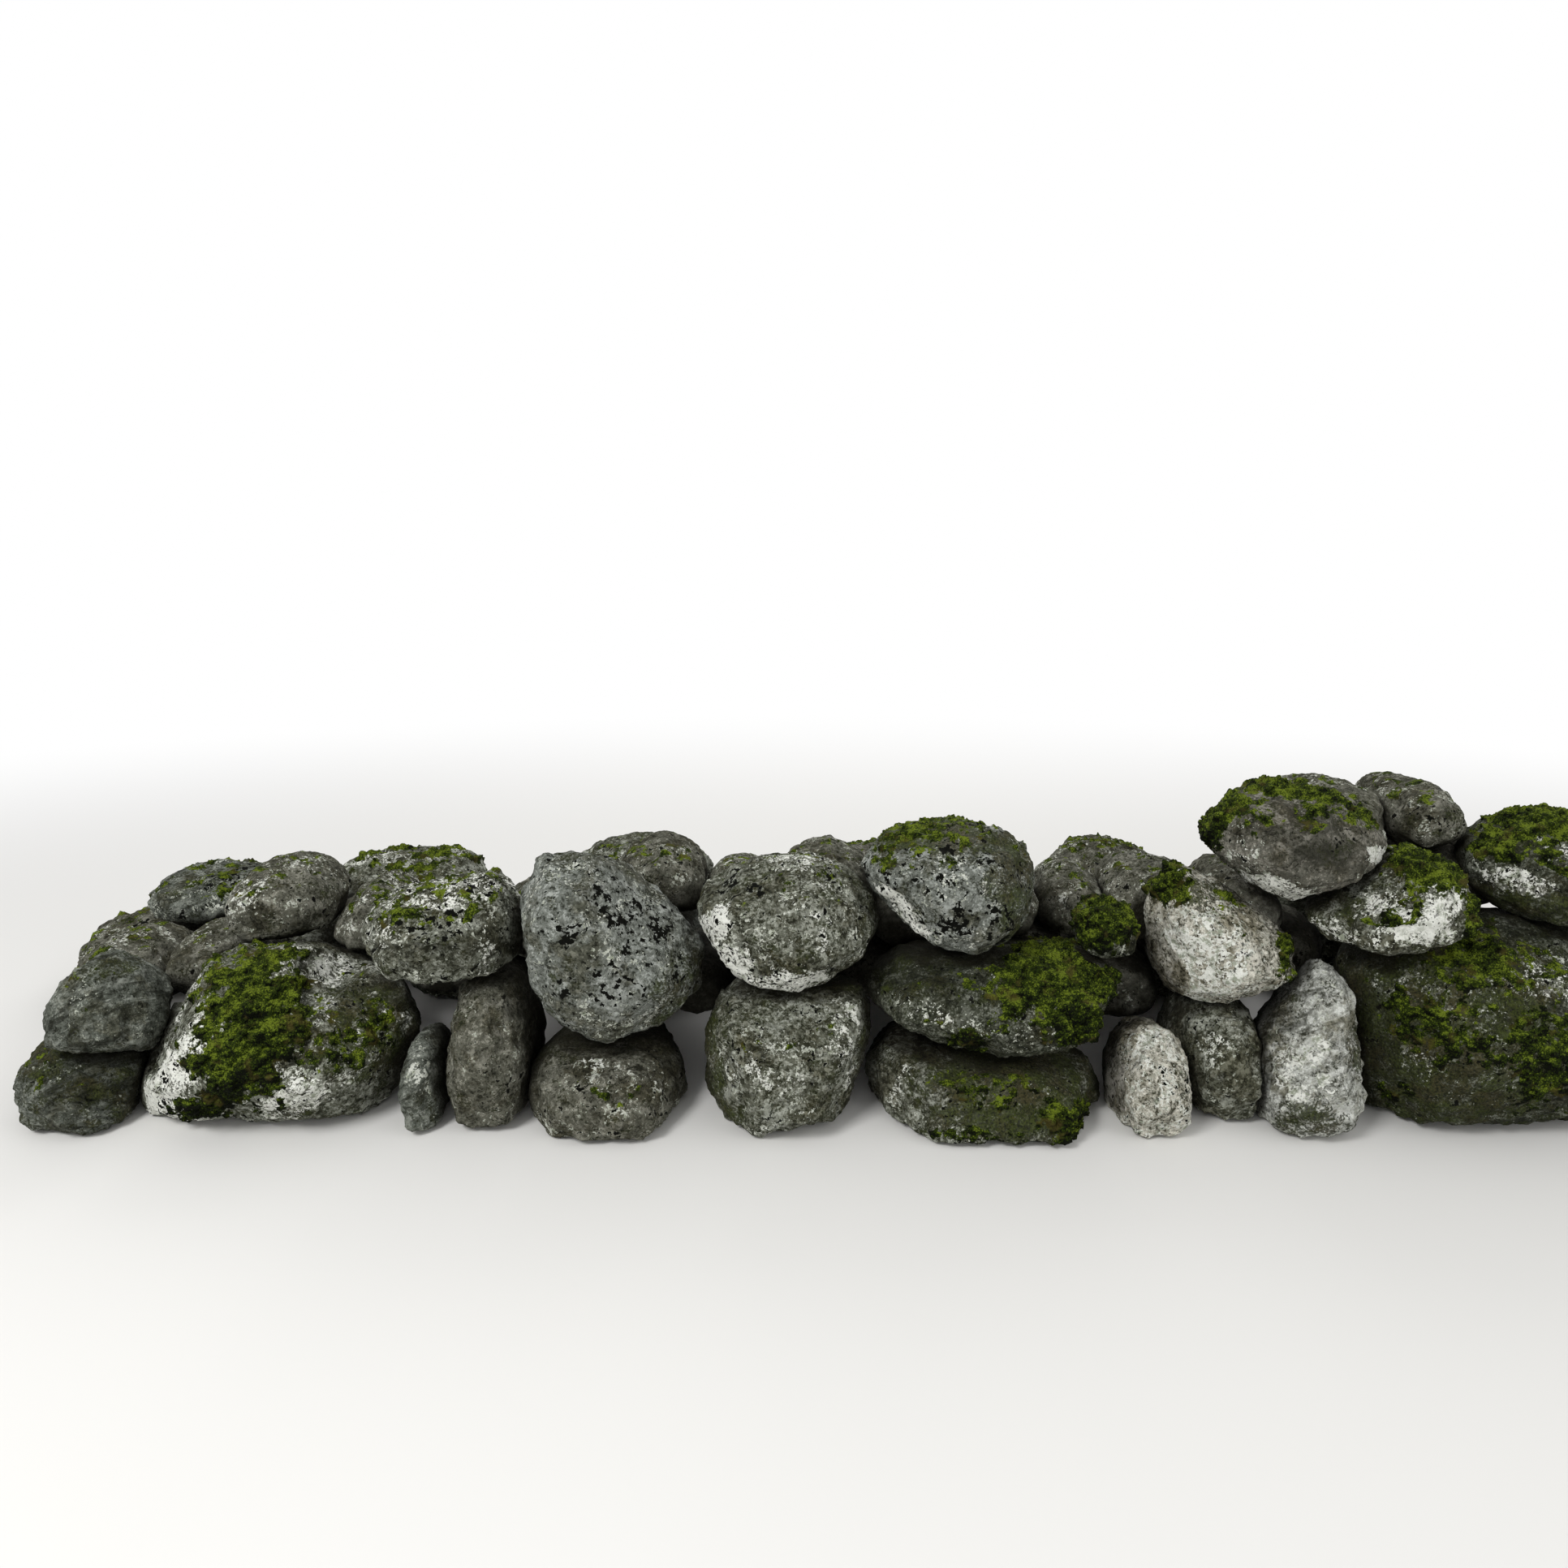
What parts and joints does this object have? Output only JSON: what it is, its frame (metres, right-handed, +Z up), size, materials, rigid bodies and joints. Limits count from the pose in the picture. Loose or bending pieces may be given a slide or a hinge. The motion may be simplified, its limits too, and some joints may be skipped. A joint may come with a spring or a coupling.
{
  "type": "dry stone wall",
  "caption": "A rough field wall of granite boulders laid without mortar in two faces, spotted with lichen and cushioned with moss",
  "frame": {"origin": "on the ground under the middle of the run", "axes": "+X along the wall to the right as seen from the front, +Y from the front face to the back face, +Z up"},
  "size_m": [4.372, 1.15, 0.7893],
  "materials": {
    "granite": "matte",
    "pale_granite": "matte",
    "dark_stone": "matte",
    "schist": "matte",
    "lichened_stone": "matte",
    "mossy_stone": "matte"
  },
  "bodies": {
    "root": {"left_foot_stone": "schist", "mossy_boulder": "mossy_stone", "blue_chock": "schist", "lichen_block_foot": "dark_stone", "speckled_boulder_foot": "dark_stone", "round_capstone_foot": "granite", "ledge_slab": "granite", "white_chock": "pale_granite", "pale_granite_foot": "granite", "pointed_stone": "granite", "dark_boulder": "mossy_stone", "right_foot_stone": "dark_stone", "left_capstone": "schist", "lichen_block": "lichened_stone", "speckled_boulder": "granite", "round_capstone": "lichened_stone", "mossy_ledge": "mossy_stone", "brown_capstone": "lichened_stone", "moss_knob": "mossy_stone", "pale_granite": "pale_granite", "patched_stone": "lichened_stone", "high_capstone": "granite", "right_capstone": "mossy_stone", "back_foot_1": "dark_stone", "back_foot_2": "granite", "back_foot_3": "mossy_stone", "back_foot_4": "granite", "back_foot_5": "dark_stone", "back_foot_6": "lichened_stone", "back_foot_7": "granite", "back_foot_8": "mossy_stone", "back_capstone_1": "schist", "back_capstone_2": "granite", "back_capstone_3": "lichened_stone", "back_capstone_4": "granite", "back_capstone_5": "dark_stone", "back_capstone_6": "lichened_stone", "hearting_1": "granite", "hearting_2": "granite", "hearting_3": "granite", "hearting_4": "granite"}
  },
  "joints": []
}
